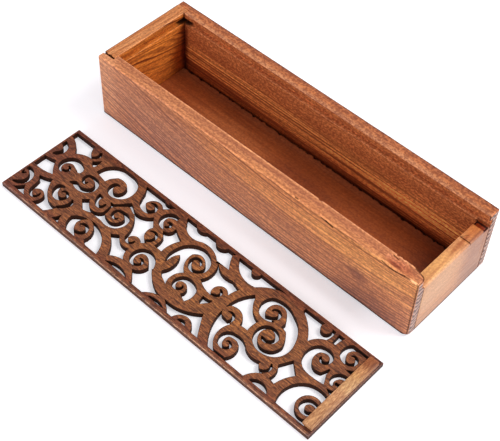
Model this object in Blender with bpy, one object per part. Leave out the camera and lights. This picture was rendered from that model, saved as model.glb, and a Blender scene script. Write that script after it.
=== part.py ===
"""Wooden pencil box: five boards that make a long open box, and a thin lid of scroll fretwork.

The lid runs in a groove round the inside of the box, over the lower near end board. It is shown
drawn out and laid flat on the table in front of the box. The origin is the middle of the box's
underside: +X points to the lower near end, +Y to the back and +Z up.
"""
import math

import bmesh
import bpy
from mathutils import Vector
from mathutils.geometry import delaunay_2d_cdt

# Box
BOX_LENGTH = 0.2200
BOX_WIDTH = 0.0650
BOX_HEIGHT = 0.0435
SIDE_THICKNESS = 0.0075
FAR_END_THICKNESS = 0.0080
NEAR_END_THICKNESS = 0.0068
BOTTOM_THICKNESS = 0.0028
FAR_REBATE_DEPTH = 0.0037
NEAR_REBATE_DEPTH = 0.0019
OUTER_EDGE_RADIUS = 0.0008
GLUE_GAP = 0.0003

# Groove for the lid, and the near end that the lid passes over
LIP_HEIGHT = 0.00335
GROOVE_HEIGHT = 0.00395
GROOVE_DEPTH = 0.00265
NEAR_END_DROP = 0.0002
NOTCH_WIDTH = 0.0033
NOTCH_DEPTH = 0.0013
LEAD_IN_LENGTH = 0.0090
LEAD_IN_DEPTH = 0.0014
LEAD_IN_RADIUS = 0.0028

# Lid
LID_HEIGHT_PLAY = 0.00075
LID_SIDE_PLAY = 0.0003
LID_OVERHANG = 0.00465
SIDE_BORDER = 0.00255
FAR_BORDER = 0.0015
NEAR_BORDER = 0.0044
BATTEN_WIDTH = 0.0058
BATTEN_HEIGHT = 0.0027
BATTEN_INSET = 0.0005
BATTEN_SIDE_PLAY = 0.0004
BATTEN_EDGE_RADIUS = 0.0007

# Where the lid lies
LID_REST_DISTANCE = 0.02065
LID_REST_SHIFT = 0.00246

# Modelling
OVERRUN = 0.0010
MERGE_DISTANCE = 0.000001
ROUND_SEGMENTS = 3

# Worked out from the sizes above
INNER_WIDTH = BOX_WIDTH - 2 * SIDE_THICKNESS
FAR_INNER_X = -BOX_LENGTH / 2 + FAR_END_THICKNESS
NEAR_INNER_X = BOX_LENGTH / 2 - NEAR_END_THICKNESS
GROOVE_TOP = BOX_HEIGHT - LIP_HEIGHT
GROOVE_BOTTOM = GROOVE_TOP - GROOVE_HEIGHT
LID_THICKNESS = GROOVE_HEIGHT - LID_HEIGHT_PLAY
LID_WIDTH = INNER_WIDTH + 2 * (GROOVE_DEPTH - LID_SIDE_PLAY)
LID_LENGTH = BOX_LENGTH - FAR_END_THICKNESS + GROOVE_DEPTH - LID_SIDE_PLAY + LID_OVERHANG
BATTEN_LENGTH = INNER_WIDTH - 2 * BATTEN_SIDE_PLAY

# The fretwork is drawn on squares, counted from the lid's far end and from its front edge. The
# field inside the lid's borders covers these squares, and clips the cuts that run past it.
FIELD_X_SHARES = (1.5, 214.6)
FIELD_Y_SHARES = (2.55, 52.15)

# How far a straight step of a curved cut may stray from the curve, in the same squares
FLATNESS_SHARE = 0.055

# Scroll cuts: the middle of the cut at each place, and its width there
SCROLL_CUT_SHARES = (
    # Crescents and curls beside the far border
    ((20.6, 45.0, 1.2), (22.6, 46.9, 1.9), (23.2, 49.3, 2.0), (22.0, 51.3, 1.4)),
    ((1.0, 42.7, 2.6), (4.0, 41.4, 2.8), (6.0, 39.2, 2.6), (6.0, 36.4, 2.4), (4.6, 34.2, 2.6),
     (3.2, 32.9, 1.0)),
    ((1.2, 16.6, 1.8), (4.6, 16.4, 2.2), (7.3, 14.2, 2.8), (8.4, 11.2, 2.8), (7.6, 8.0, 2.8),
     (5.2, 6.0, 2.2), (2.9, 4.9, 0.8)),
    ((1.2, 14.2, 0.9), (2.6, 12.2, 1.3), (3.9, 13.6, 0.7)),
    # First pair of scrolls
    ((24.0, 32.9, 1.6), (23.0, 35.2, 4.0), (18.0, 37.2, 4.6), (14.2, 35.8, 4.0), (12.4, 32.6, 2.9),
     (13.0, 29.6, 2.1), (14.6, 28.0, 1.3), (16.6, 27.3, 0.6)),
    ((16.6, 32.6, 0.6), (18.0, 32.3, 1.1), (18.9, 30.6, 1.5), (18.0, 28.9, 1.6), (16.0, 28.6, 1.0)),
    ((25.6, 25.5, 0.6), (28.0, 26.9, 2.8), (31.5, 25.9, 2.8), (35.3, 26.6, 3.0), (38.0, 29.0, 2.8),
     (38.6, 32.2, 2.4), (36.6, 35.2, 2.2), (33.0, 36.1, 1.8), (29.8, 35.3, 1.8), (29.2, 32.6, 1.6),
     (30.6, 30.7, 1.3), (32.3, 30.8, 1.3), (33.0, 32.0, 0.6)),
    ((14.5, 12.0, 1.8), (14.9, 8.2, 1.8), (16.6, 5.8, 1.6), (18.8, 5.1, 1.2), (20.6, 6.4, 1.4),
     (20.9, 8.4, 1.0), (20.4, 9.3, 0.5)),
    ((27.0, 21.2, 0.5), (24.2, 19.8, 2.8), (24.3, 17.2, 3.2), (25.8, 14.8, 3.0), (28.4, 13.4, 2.6),
     (31.0, 14.0, 2.2), (32.7, 16.0, 1.6), (32.2, 18.3, 1.4), (30.2, 19.4, 1.2), (28.5, 18.8, 1.0),
     (28.2, 17.5, 0.5)),
    ((36.2, 18.2, 0.4), (37.6, 16.0, 2.2), (37.4, 13.6, 2.4), (35.6, 10.6, 2.0), (33.6, 9.0, 1.2)),
    # Large hook under the back border
    ((34.7, 39.6, 8.2), (35.6, 43.8, 8.8), (38.2, 47.0, 8.4), (41.6, 48.9, 7.0), (46.0, 49.2, 6.3),
     (50.3, 48.1, 6.1), (53.2, 45.2, 5.6), (54.0, 41.6, 5.0), (53.1, 38.3, 4.4), (50.7, 36.0, 3.2),
     (47.8, 35.4, 2.8), (45.2, 36.7, 2.6), (44.2, 39.3, 2.5), (45.0, 41.5, 2.0), (47.2, 42.1, 0.7)),
    # Middle curls of the first half
    ((45.2, 30.9, 4.0), (45.0, 29.4, 2.9), (45.6, 27.3, 2.0), (47.0, 25.5, 1.8), (49.0, 24.7, 1.6),
     (50.7, 25.5, 1.7), (51.2, 27.3, 1.3), (50.9, 28.5, 0.6)),
    ((54.6, 22.6, 2.0), (57.5, 20.9, 3.0), (61.5, 20.3, 3.2), (65.3, 21.9, 3.5), (67.2, 25.2, 3.5),
     (67.1, 28.5, 3.0), (64.9, 30.5, 2.2), (61.8, 30.8, 1.6), (59.2, 30.0, 1.6), (58.3, 28.0, 1.6),
     (58.8, 26.0, 1.6), (60.6, 25.0, 1.2), (62.3, 25.4, 1.0), (62.7, 26.6, 0.5)),
    ((55.0, 22.5, 1.8), (54.9, 25.5, 1.4), (54.4, 28.5, 1.1), (54.4, 30.4, 1.5)),
    ((52.2, 31.2, 0.4), (54.2, 30.5, 1.9), (56.2, 32.2, 1.6), (58.4, 34.5, 1.8), (60.6, 36.8, 2.6),
     (62.6, 36.4, 1.4), (64.8, 35.3, 1.2), (66.6, 34.5, 1.0)),
    ((52.2, 4.6, 1.2), (54.6, 5.2, 1.8), (56.8, 6.8, 2.0), (57.2, 9.2, 1.9), (55.6, 11.2, 1.7),
     (53.2, 11.4, 1.5), (51.6, 10.0, 0.7)),
    ((63.5, 44.0, 3.2), (65.0, 41.9, 3.2), (67.5, 40.4, 2.6), (70.0, 40.2, 2.3), (72.0, 41.5, 2.2),
     (72.8, 43.7, 1.8), (71.5, 45.8, 1.5), (69.4, 46.4, 1.2), (67.5, 45.7, 0.6)),
    ((74.8, 21.6, 1.8), (76.2, 19.8, 1.6), (78.2, 19.2, 1.2), (79.8, 20.2, 1.3), (80.3, 22.0, 0.9)),
    ((86.0, 47.8, 2.0), (83.2, 47.8, 2.8), (80.4, 46.0, 3.0), (79.6, 43.0, 3.0), (80.6, 40.4, 2.6),
     (82.6, 38.8, 1.8), (84.5, 38.0, 0.6)),
    ((83.4, 42.2, 0.6), (84.3, 43.1, 1.3), (85.7, 42.7, 1.6), (86.0, 41.0, 1.6), (84.8, 39.8, 1.2),
     (83.9, 40.1, 0.5)),
    ((80.9, 32.2, 0.5), (82.3, 33.1, 1.0), (84.3, 33.2, 1.2), (86.0, 31.8, 1.5), (86.3, 29.5, 1.7),
     (85.3, 27.5, 1.7), (83.5, 26.2, 1.4)),
    ((90.2, 11.2, 0.8), (88.0, 12.2, 2.0), (86.4, 14.5, 2.6), (86.2, 17.5, 3.0), (87.8, 20.4, 3.2),
     (91.0, 21.6, 3.4), (94.6, 20.5, 3.4), (97.3, 17.8, 3.2), (98.8, 15.6, 2.4)),
    ((90.0, 16.4, 0.6), (91.3, 16.6, 1.0), (92.8, 15.6, 1.4), (93.0, 13.8, 1.5), (91.8, 12.3, 1.4),
     (90.0, 11.5, 1.2)),
    # Great scroll of the middle and the leaf beside it
    ((100.6, 24.2, 0.5), (99.8, 28.0, 2.5), (100.5, 32.0, 4.0), (103.0, 36.2, 6.4),
     (106.2, 39.7, 5.6), (110.0, 41.4, 4.4), (114.0, 40.8, 3.4), (117.2, 38.6, 2.8),
     (118.9, 35.8, 2.2), (119.0, 33.0, 1.9), (117.2, 30.6, 1.8), (114.5, 29.5, 1.8),
     (111.6, 30.6, 1.7), (109.9, 33.2, 1.7), (110.2, 35.8, 1.7), (112.3, 36.9, 1.5),
     (114.4, 36.2, 1.2), (115.5, 34.4, 0.6)),
    ((122.8, 14.2, 4.8), (123.8, 17.3, 4.9), (122.8, 21.0, 4.9), (119.5, 23.1, 3.9),
     (115.9, 23.0, 3.5), (113.5, 20.8, 2.4), (113.3, 18.2, 2.1), (114.6, 16.4, 1.7),
     (116.7, 16.1, 1.5), (118.3, 17.3, 1.5), (118.4, 18.9, 0.9), (117.7, 19.4, 0.4)),
    ((133.0, 31.0, 0.6), (134.4, 30.5, 1.2), (135.2, 28.7, 1.5), (134.5, 27.0, 1.5),
     (132.8, 26.2, 1.2), (131.6, 25.9, 0.9)),
    ((145.2, 24.3, 0.5), (146.6, 24.9, 0.9), (148.7, 24.3, 1.3), (149.8, 22.3, 1.7),
     (149.4, 20.2, 1.6), (147.6, 18.9, 1.4), (145.4, 18.9, 1.6), (144.0, 19.6, 1.6)),
    # Great double scroll of the second half
    ((165.4, 35.3, 0.6), (162.6, 34.4, 1.7), (159.6, 34.3, 2.2), (157.0, 35.9, 3.2),
     (155.5, 39.8, 4.4), (156.8, 44.0, 4.2), (161.0, 46.0, 2.5), (165.5, 45.7, 2.4),
     (169.2, 43.5, 3.6), (173.0, 40.0, 6.2), (176.8, 35.8, 5.6), (179.3, 31.3, 4.9),
     (180.2, 27.3, 4.2), (179.3, 23.7, 3.9), (177.1, 20.9, 3.2), (174.0, 19.3, 2.6),
     (170.5, 18.9, 2.3), (167.3, 20.0, 2.2), (164.9, 22.2, 2.3), (163.6, 25.3, 2.3),
     (163.7, 28.4, 2.3), (165.4, 30.9, 2.1), (168.4, 31.9, 1.7), (171.5, 31.0, 1.8),
     (173.3, 28.7, 2.0), (172.8, 26.2, 2.1), (170.5, 24.4, 1.9), (168.2, 24.4, 1.7),
     (166.8, 25.2, 0.7)),
    ((160.4, 39.6, 0.7), (161.0, 41.0, 1.1), (163.0, 41.7, 1.3), (164.9, 40.6, 1.6),
     (165.3, 38.5, 1.8), (164.0, 36.6, 1.9), (162.0, 35.4, 1.8), (160.5, 34.8, 1.5)),
    ((164.5, 14.0, 3.2), (161.2, 15.8, 3.0), (157.8, 16.0, 2.9), (154.6, 15.0, 3.0),
     (153.2, 12.4, 3.2), (153.8, 9.6, 2.6), (155.4, 7.7, 1.8), (157.4, 7.2, 1.3), (159.2, 8.2, 1.4),
     (159.8, 10.0, 1.4), (158.8, 11.5, 1.1), (157.2, 11.8, 0.9), (156.5, 11.0, 0.4)),
    ((180.9, 16.8, 0.6), (182.0, 15.2, 1.4), (182.1, 13.2, 1.5), (181.0, 11.4, 1.5),
     (179.2, 10.5, 1.3)),
    # Curls beside and under the batten
    ((213.5, 51.4, 1.2), (210.0, 51.6, 1.6), (206.5, 51.8, 2.0), (203.0, 50.6, 3.4),
     (201.6, 47.4, 3.2), (202.2, 44.4, 3.0), (204.4, 42.3, 2.0), (206.8, 41.9, 1.3),
     (208.9, 43.0, 1.5), (209.7, 45.0, 1.5), (208.9, 46.9, 1.5), (206.9, 47.6, 1.1),
     (205.5, 46.9, 0.5)),
    ((195.2, 36.6, 0.6), (195.8, 35.1, 1.3), (197.6, 34.4, 1.6), (199.4, 35.2, 1.6),
     (200.2, 37.2, 1.5), (199.6, 39.2, 1.9), (197.4, 40.6, 2.5), (194.4, 40.5, 3.2),
     (191.5, 38.9, 4.0), (190.2, 35.4, 4.5), (190.9, 31.2, 4.7), (193.6, 28.0, 4.7),
     (197.8, 26.8, 4.0), (201.5, 27.4, 4.6)),
    ((214.0, 35.4, 1.2), (212.0, 35.4, 2.4), (209.0, 34.3, 3.0), (207.4, 31.6, 2.8),
     (207.9, 29.0, 1.8), (209.4, 28.0, 1.0)),
    ((209.6, 30.2, 1.0), (211.2, 29.8, 1.8), (213.0, 30.5, 1.8), (213.4, 32.0, 0.8)),
    ((213.0, 13.7, 1.6), (210.8, 14.5, 2.0), (208.0, 14.2, 2.6), (206.2, 12.2, 2.8),
     (206.3, 9.7, 2.8), (208.2, 8.1, 2.4), (210.8, 8.3, 2.4), (212.8, 10.0, 2.0)),
)

# Pierced patches: their corners in clockwise order, and how far the edge that follows each corner
# bows out of the opening. A negative bow is wood that swells into it.
PATCH_SHARES = (
    # Far end
    ((1.5, 52.2, 0), (16.2, 52.2, -1.2), (21.5, 44.8, -0.9), (12.2, 41.0, -1.3), (1.5, 48.6, 0)),
    ((26.8, 47.8, 0.2), (27.3, 43.5, 0.3), (26.3, 41.2, 0.1), (23.3, 43.8, -0.3)),
    ((1.5, 28.9, -0.3), (8.6, 30.5, -0.6), (14.9, 22.6, 0.8), (1.5, 21.0, 0)),
    ((10.6, 17.3, -0.4), (17.7, 20.4, 0), (18.6, 18.2, -0.9), (26.4, 9.3, -0.6), (34.2, 8.5, 0.3),
     (30.7, 2.6, 0), (21.8, 2.6, -0.8), (23.6, 8.9, -2.9), (15.6, 8.0, 0), (13.9, 8.6, -0.2),
     (12.8, 15.5, 0.3)),
    ((6.3, 2.6, -0.2), (10.4, 7.3, 0), (12.4, 4.9, -0.3), (15.2, 2.6, 0)),
    ((37.6, 2.6, -0.3), (40.0, 7.5, -0.3), (42.2, 2.6, 0)),
    # First half
    ((39.5, 22.0, 0), (42.4, 24.8, 0), (43.7, 23.3, -3.1), (54.3, 24.0, 0), (56.0, 22.0, 0),
     (59.0, 19.3, 0.2), (50.0, 19.3, 0.2), (44.9, 17.4, 0)),
    ((59.2, 36.0, 0), (60.2, 38.5, 0), (62.3, 37.0, 0), (61.0, 35.6, 0)),
    ((65.6, 35.3, -1.6), (75.8, 39.9, 0), (77.0, 38.2, 0), (80.4, 34.8, -3.0), (85.4, 25.6, 0),
     (83.1, 23.4, -2.9), (75.7, 20.8, 0), (74.3, 20.2, -2.0)),
    ((57.4, 52.3, 0), (71.3, 52.2, -1.1), (76.6, 52.3, 0), (80.3, 52.2, -0.3), (77.8, 50.2, 0.2),
     (75.1, 47.2, -3.5), (65.6, 43.7, 0), (63.3, 41.8, 0.4), (60.2, 48.5, 0)),
    ((89.6, 42.6, -0.3), (97.3, 39.0, -1.1), (94.6, 27.1, 0), (89.4, 27.1, -0.7), (88.6, 34.4, 0.2),
     (85.8, 37.0, -1.6)),
    ((67.7, 16.7, -0.1), (71.2, 19.4, 0), (72.3, 18.6, -1.7), (81.3, 16.4, -0.8), (84.3, 9.8, -0.6),
     (76.7, 6.3, -1.0)),
    ((52.4, 15.0, -0.9), (49.3, 9.2, -0.8), (54.6, 3.3, 0), (55.2, 2.6, 0), (49.2, 2.6, 1.4),
     (44.2, 10.6, 1.0)),
    ((53.6, 15.7, 4.2), (72.1, 2.6, 0), (63.9, 2.6, 0.3), (60.7, 4.7, -3.1)),
    ((78.2, 3.0, 2.7), (94.0, 3.0, -0.3)),
    # Middle
    ((88.9, 52.3, 0), (95.0, 52.3, -2.0), (103.3, 52.3, 0), (109.5, 52.3, -3.0), (118.4, 52.3, 0),
     (121.9, 52.3, -0.5), (127.6, 42.8, 0), (119.2, 42.7, -1.9), (105.5, 46.0, 3.4),
     (90.7, 49.8, 0.3)),
    ((102.6, 33.0, 0), (103.5, 36.0, 0), (107.4, 37.0, -1.9), (112.5, 25.6, -2.2), (110.8, 14.2, 0),
     (105.2, 16.8, 0), (103.6, 18.9, -2.5)),
    ((92.3, 8.9, -1.9), (97.0, 17.0, 0), (99.4, 15.8, -1.5), (114.2, 7.1, -0.9), (106.1, 2.6, 0),
     (98.3, 2.6, -0.2)),
    ((109.3, 3.0, 1.6), (120.9, 3.0, 0.1)),
    ((117.2, 7.4, -2.3), (137.4, 14.7, 0), (138.2, 12.8, -0.1), (144.8, 2.6, 0), (139.9, 2.6, -5.2),
     (127.2, 2.6, 0), (124.0, 2.6, -0.4)),
    ((130.2, 3.4, 1.9), (135.6, 3.2, 0)),
    ((120.7, 42.4, -2.2), (133.6, 39.1, 0.1), (139.9, 37.2, -0.4), (138.2, 31.0, -5.6),
     (131.9, 25.2, 0.8), (121.5, 28.6, -2.4)),
    ((129.5, 22.2, -0.4), (135.2, 23.3, 0), (134.9, 21.4, -0.1), (131.8, 17.7, 0), (130.4, 18.4, 0)),
    ((126.3, 52.3, 0), (135.9, 52.3, -3.4), (141.5, 52.3, 0), (160.4, 52.3, -1.8),
     (144.5, 44.1, 1.0), (134.0, 44.9, 0.4), (128.9, 49.0, 0.1)),
    # Second half
    ((147.7, 40.6, 0), (149.3, 39.2, -2.0), (159.8, 30.1, -0.5), (159.4, 22.6, -0.3),
     (154.7, 22.2, -3.6), (143.6, 27.6, 0), (142.3, 25.3, 1.6)),
    ((142.3, 23.1, -0.3), (144.2, 20.5, 0), (151.3, 19.8, -3.7), (155.2, 3.5, -0.1), (161.7, 3.9, 0),
     (161.7, 2.6, 0), (152.2, 2.6, 2.2)),
    ((169.6, 43.0, 0), (175.0, 38.0, 0), (176.4, 33.0, -0.8), (170.0, 35.6, -0.5)),
    ((161.8, 14.4, 0), (163.7, 16.2, -2.0), (176.4, 14.1, 0), (176.2, 12.6, -0.8),
     (182.0, 10.2, -1.1), (175.4, 2.6, 0), (161.0, 2.6, -2.7)),
    ((171.6, 52.3, 0), (184.2, 52.3, -5.1), (189.1, 52.3, 0), (191.2, 52.3, 0.6), (190.8, 45.3, -1.0),
     (184.6, 38.6, -1.3), (171.6, 50.4, 0)),
    ((187.1, 25.5, -0.1), (193.6, 20.0, -0.8), (188.9, 9.5, 0), (185.2, 10.4, -1.3),
     (183.5, 18.8, 0)),
    ((178.9, 2.9, 3.4), (190.2, 2.9, 0)),
    # Near end
    ((193.5, 52.3, 0), (197.0, 52.3, -0.3), (195.9, 46.3, 0), (193.9, 46.0, 0)),
    ((200.8, 29.3, 0), (202.6, 33.9, 0), (203.4, 33.6, 0), (203.5, 30.4, 0), (206.1, 25.6, 0),
     (200.5, 24.8, 0)),
    ((208.0, 38.9, -0.2), (214.0, 42.5, 0), (214.0, 38.6, 0)),
    ((208.4, 24.9, 0), (214.0, 26.4, 0), (214.0, 23.0, 0), (210.2, 23.9, 0)),
    ((213.8, 16.1, -11.3), (213.8, 6.3, 0), (213.8, 2.6, 0), (196.1, 2.6, 4.0), (201.0, 21.0, 1.5),
     (213.8, 20.9, 0)),
)

# Colours, as linear red, green and blue, and roughness
CHERRY_SHARES = (0.42, 0.17, 0.065, 0.42)
HONEY_SHARES = (0.50, 0.24, 0.10, 0.45)
FLOOR_SHARES = (0.22, 0.085, 0.035, 0.50)
WALNUT_SHARES = (0.19, 0.075, 0.035, 0.50)


def clear_scene():
    """Removes whatever the scene holds."""
    for old in list(bpy.data.objects):
        bpy.data.objects.remove(old, do_unlink=True)


def wood(name, shares):
    """A plain wood material."""
    material = bpy.data.materials.new(name)
    material.use_nodes = True
    shader = material.node_tree.nodes["Principled BSDF"]
    shader.inputs["Base Color"].default_value = (*shares[:3], 1)
    shader.inputs["Roughness"].default_value = shares[3]
    shader.inputs["Metallic"].default_value = 0
    return material


def place_empty(name, location):
    """An empty that carries the pieces of one body."""
    empty = bpy.data.objects.new(name, None)
    empty.location = location
    bpy.context.collection.objects.link(empty)
    return empty


def add_object(name, bm, location, parent, material=None):
    """Makes an object of a bmesh and hangs it on its empty."""
    mesh = bpy.data.meshes.new(name)
    bm.to_mesh(mesh)
    bm.free()
    piece = bpy.data.objects.new(name, mesh)
    piece.location = location
    piece.parent = parent
    if material:
        mesh.materials.append(material)
    bpy.context.collection.objects.link(piece)
    return piece


def block_mesh(size, soft_edges=(), radius=0):
    """A block about its own middle. A soft edge is named by the sides that it lies on."""
    bm = bmesh.new()
    bmesh.ops.create_cube(bm, size=1)
    chosen = []
    for edge in bm.edges:
        middle = (edge.verts[0].co + edge.verts[1].co) / 2
        if tuple(round(2 * value) for value in middle) in soft_edges:
            chosen.append(edge)
    bmesh.ops.scale(bm, vec=size, verts=bm.verts)
    if chosen:
        bmesh.ops.bevel(bm, geom=chosen, offset=radius, segments=ROUND_SEGMENTS, profile=0.5,
                        affect="EDGES")
    return bm


def block(name, low, high, parent, material=None, soft_edges=(), radius=0):
    """A block between two corners."""
    low = Vector(low)
    high = Vector(high)
    bm = block_mesh(high - low, soft_edges, radius)
    return add_object(name, bm, (low + high) / 2, parent, material)


def cut_away(piece, cutter):
    """Takes the cutter's shape out of the piece."""
    cutter.hide_render = True
    cutter.display_type = "WIRE"
    boolean = piece.modifiers.new(cutter.name, "BOOLEAN")
    boolean.operation = "DIFFERENCE"
    boolean.solver = "EXACT"
    boolean.object = cutter


def cut_block(piece, name, low, high):
    """Cuts a block out of a piece, between two corners."""
    cut_away(piece, block(piece.name + "_" + name, low, high, piece.parent))


def side_board(name, side, parent, material):
    """A long wall: side is -1 at the front and 1 at the back."""
    inner = side * INNER_WIDTH / 2
    outer = side * BOX_WIDTH / 2
    soft = [(0, side, 1), (0, side, -1), (1, side, 0), (-1, side, 0)]
    soft += [(1, 0, 1), (-1, 0, 1), (1, 0, -1), (-1, 0, -1)]
    board = block(name, (-BOX_LENGTH / 2, min(inner, outer), 0),
                  (BOX_LENGTH / 2, max(inner, outer), BOX_HEIGHT),
                  parent, material, soft, OUTER_EDGE_RADIUS)

    def cut(part, x_low, x_high, depth, z_low, z_high):
        across = sorted((inner - side * OVERRUN, inner + side * depth))
        cut_block(board, part, (x_low, across[0], z_low), (x_high, across[1], z_high))

    cut("groove", -BOX_LENGTH / 2 - OVERRUN, BOX_LENGTH / 2 + OVERRUN, GROOVE_DEPTH,
        GROOVE_BOTTOM, GROOVE_TOP)
    cut("far_rebate", -BOX_LENGTH / 2 - OVERRUN, FAR_INNER_X + GLUE_GAP, FAR_REBATE_DEPTH,
        -OVERRUN, BOX_HEIGHT + OVERRUN)
    cut("near_rebate", NEAR_INNER_X - GLUE_GAP, BOX_LENGTH / 2 + OVERRUN, NEAR_REBATE_DEPTH,
        -OVERRUN, GROOVE_BOTTOM + GROOVE_HEIGHT / 2)
    return board


def cut_lead_in(board):
    """Eases the front lip's inner corner at the near end, where the lid enters."""
    inner = -INNER_WIDTH / 2
    end = BOX_LENGTH / 2
    outline = [(end - LEAD_IN_LENGTH, inner)]
    centre = Vector((end - LEAD_IN_RADIUS, inner - LEAD_IN_DEPTH - LEAD_IN_RADIUS))
    steps = 2 * ROUND_SEGMENTS
    for step in range(steps + 1):
        angle = math.pi / 2 * (1 - step / steps)
        outline.append(centre + LEAD_IN_RADIUS * Vector((math.cos(angle), math.sin(angle))))
    outline.append((end + OVERRUN, centre.y))
    outline.append((end + OVERRUN, inner + OVERRUN))
    outline.append((end - LEAD_IN_LENGTH, inner + OVERRUN))
    low = GROOVE_TOP - GROOVE_HEIGHT / 2
    bm = bmesh.new()
    face = bm.faces.new([bm.verts.new((x, y, low)) for x, y in outline])
    raised = bmesh.ops.extrude_face_region(bm, geom=[face])["geom"]
    bmesh.ops.translate(bm, vec=(0, 0, BOX_HEIGHT + OVERRUN - low),
                        verts=[item for item in raised if isinstance(item, bmesh.types.BMVert)])
    bmesh.ops.recalc_face_normals(bm, faces=bm.faces)
    cut_away(board, add_object(board.name + "_lead_in", bm, (0, 0, 0), board.parent))


def far_end_board(parent, material):
    """The full-height end wall, grooved for the lid's far edge."""
    half = INNER_WIDTH / 2 + FAR_REBATE_DEPTH - GLUE_GAP
    board = block("far_end_board", (-BOX_LENGTH / 2, -half, 0), (FAR_INNER_X, half, BOX_HEIGHT),
                  parent, material, [(-1, 0, 1), (-1, 0, -1)], OUTER_EDGE_RADIUS)
    cut_block(board, "groove", (FAR_INNER_X - GROOVE_DEPTH, -half - OVERRUN, GROOVE_BOTTOM),
              (FAR_INNER_X + OVERRUN, half + OVERRUN, GROOVE_TOP))
    return board


def near_end_board(parent, material):
    """The lower end wall, with a notch across its back end."""
    half = INNER_WIDTH / 2 + NEAR_REBATE_DEPTH - GLUE_GAP
    top = GROOVE_BOTTOM - NEAR_END_DROP
    board = block("near_end_board", (NEAR_INNER_X, -half, 0), (BOX_LENGTH / 2, half, top),
                  parent, material, [(1, 0, 1), (1, 0, -1)], OUTER_EDGE_RADIUS)
    cut_block(board, "notch", (NEAR_INNER_X - OVERRUN, INNER_WIDTH / 2 - NOTCH_WIDTH, top - NOTCH_DEPTH),
              (BOX_LENGTH / 2 + OVERRUN, half + OVERRUN, top + OVERRUN))
    return board


def bottom_panel(parent, material):
    """The floor, let in flush between the four boards."""
    half = INNER_WIDTH / 2 - GLUE_GAP
    return block("bottom_panel", (FAR_INNER_X + GLUE_GAP, -half, 0),
                 (NEAR_INNER_X - GLUE_GAP, half, BOTTOM_THICKNESS), parent, material)


def field_scale():
    """Metres to a square, along the lid and across it."""
    along = (LID_LENGTH - FAR_BORDER - NEAR_BORDER) / (FIELD_X_SHARES[1] - FIELD_X_SHARES[0])
    across = (LID_WIDTH - 2 * SIDE_BORDER) / (FIELD_Y_SHARES[1] - FIELD_Y_SHARES[0])
    return along, across


def to_lid(x, y):
    """The place on the lid, about its middle, of a place counted in squares."""
    along, across = field_scale()
    return Vector((FAR_BORDER - LID_LENGTH / 2 + (x - FIELD_X_SHARES[0]) * along,
                   SIDE_BORDER - LID_WIDTH / 2 + (y - FIELD_Y_SHARES[0]) * across))


def steps_for(length, turn):
    """How many straight steps stand for a curve of this length that turns through this angle."""
    return max(1, math.ceil(math.sqrt(length * abs(turn) / (8 * FLATNESS_SHARE))))


def spline_samples(rows):
    """Samples a smooth curve through the rows, closer together where it turns more."""
    rows = [Vector(row) for row in rows]
    last = len(rows) - 1
    slopes = [(rows[min(i + 1, last)] - rows[max(i - 1, 0)]) / (min(i + 1, last) - max(i - 1, 0))
              for i in range(last + 1)]
    samples = []
    for i in range(last):
        span = (rows[i + 1] - rows[i]).xy.length
        steps = steps_for(span + rows[i].z / 2, slopes[i].xy.angle(slopes[i + 1].xy))
        for step in range(steps):
            t = step / steps
            samples.append((1 + 2 * t) * (1 - t) ** 2 * rows[i] + t * (1 - t) ** 2 * slopes[i]
                           + t * t * (3 - 2 * t) * rows[i + 1] + t * t * (t - 1) * slopes[i + 1])
    samples.append(rows[last])
    return samples


def scroll_cut(rows):
    """A cut of changing width along a smooth curve, as a strip of triangles."""
    samples = spline_samples(rows)
    last = len(samples) - 1
    rails = []
    for i, sample in enumerate(samples):
        along = (samples[min(i + 1, last)] - samples[max(i - 1, 0)]).xy.normalized()
        across = Vector((-along.y, along.x)) * sample.z / 2
        rails.append((sample.xy + across, sample.xy - across))
    strip = []
    for (left, right), (next_left, next_right) in zip(rails, rails[1:]):
        strip.append((left, right, next_right))
        strip.append((left, next_right, next_left))
    return strip


def patch_outline(corners):
    """The outline of a pierced patch, each of whose edges is an arc."""
    outline = []
    for (x, y, bow), (next_x, next_y, _) in zip(corners, corners[1:] + corners[:1]):
        start = Vector((x, y))
        chord = Vector((next_x, next_y)) - start
        sweep = 4 * math.atan2(2 * bow, chord.length)
        outline.append(start)
        if not bow:
            continue
        radius = chord.length / (2 * math.sin(sweep / 2))
        steps = steps_for(abs(radius * sweep), sweep)
        outward = Vector((-chord.y, chord.x)).normalized()
        centre = start + chord / 2 + outward * (bow - radius)
        for step in range(1, steps):
            angle = -sweep * step / steps
            spoke = start - centre
            outline.append(centre + Vector((spoke.x * math.cos(angle) - spoke.y * math.sin(angle),
                                            spoke.x * math.sin(angle) + spoke.y * math.cos(angle))))
    return outline


def anticlockwise(outline):
    """The outline, turned round if it runs clockwise."""
    area = sum(a.x * b.y - b.x * a.y for a, b in zip(outline, outline[1:] + outline[:1]))
    return outline if area > 0 else outline[::-1]


def rectangle(low_x, high_x, low_y, high_y):
    """Four corners in anticlockwise order."""
    corners = ((low_x, low_y), (high_x, low_y), (high_x, high_y), (low_x, high_y))
    return [Vector(corner) for corner in corners]


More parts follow.
